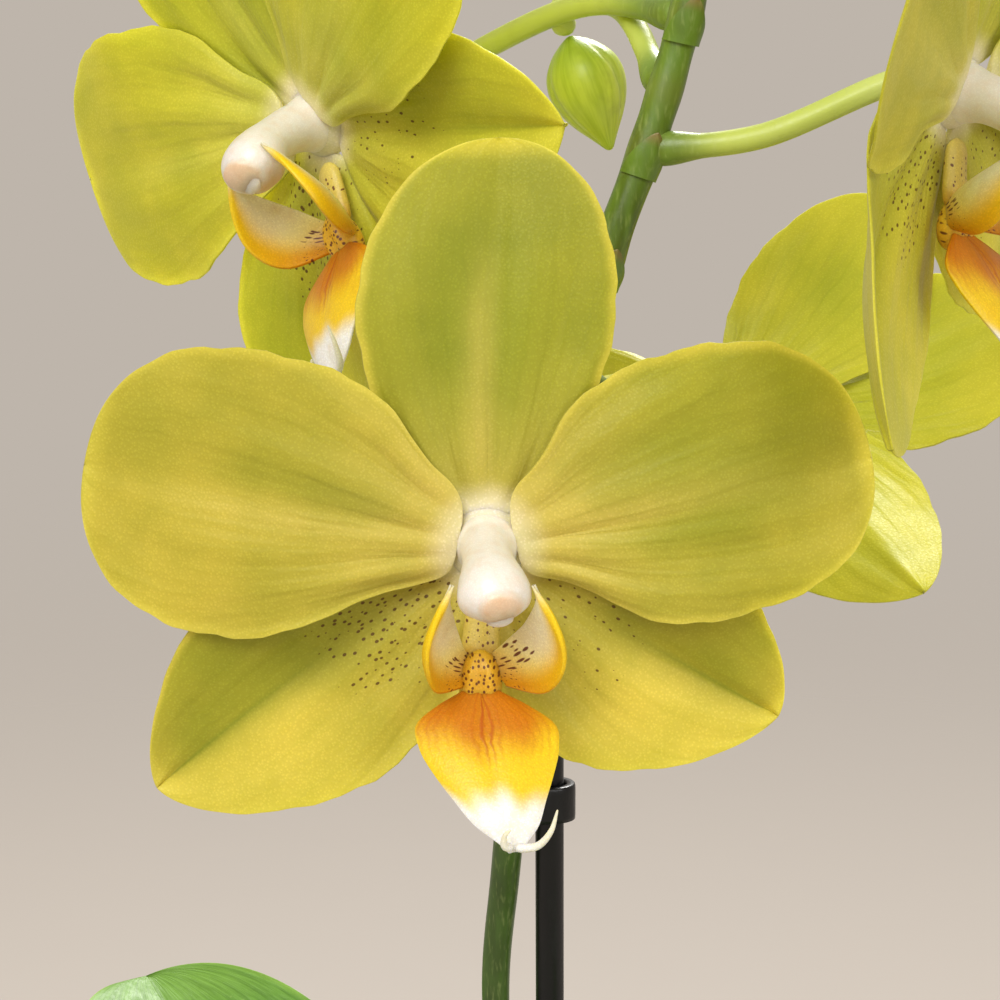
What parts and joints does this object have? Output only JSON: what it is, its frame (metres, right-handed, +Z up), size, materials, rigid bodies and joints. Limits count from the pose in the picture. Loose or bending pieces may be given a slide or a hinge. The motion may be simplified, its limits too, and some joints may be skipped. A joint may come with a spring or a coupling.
{
  "type": "potted orchid",
  "caption": "Moth orchid in a plain round pot: yellow flowers and buds on one arching stem, held to a stake above broad leaves.",
  "frame": {"origin": "centre of the pot's flat underside", "axes": "+Z up along the pot's axis, -Y the way the lowest flower faces, +X to its viewer's right"},
  "size_m": [0.2284, 0.2125, 0.4463],
  "materials": {
    "pot": "satin glaze",
    "bark": "rough, dry",
    "stem": "smooth, waxy",
    "leaf": "smooth, waxy",
    "root": "matt, spongy",
    "plastic": "satin",
    "petal": "soft, fine sparkle",
    "column": "smooth, waxy",
    "lip": "smooth, waxy",
    "bud": "smooth, waxy"
  },
  "bodies": {
    "root": {"pot": "pot", "bark": "bark", "crown": "stem", "leaf_1": "leaf", "leaf_2": "leaf", "leaf_3": "leaf", "leaf_4": "leaf", "leaf_5": "leaf", "leaf_6": "leaf", "root_1": "root", "root_2": "root", "root_3": "root", "flower_stem": "stem", "stake": "plastic", "clip_1": "plastic", "clip_2": "plastic", "flower_1_tepals": "petal", "flower_1_column": "column", "flower_1_lip": "lip", "flower_2_tepals": "petal", "flower_2_column": "column", "flower_2_lip": "lip", "flower_3_tepals": "petal", "flower_3_column": "column", "flower_3_lip": "lip", "flower_4_tepals": "petal", "flower_4_column": "column", "flower_4_lip": "lip", "flower_5_tepals": "petal", "flower_5_column": "column", "flower_5_lip": "lip", "flower_6_tepals": "petal", "flower_6_column": "column", "flower_6_lip": "lip", "bud_1": "bud", "bud_2": "bud", "bud_3": "bud", "bud_4": "bud", "bud_5": "bud"}
  },
  "joints": []
}
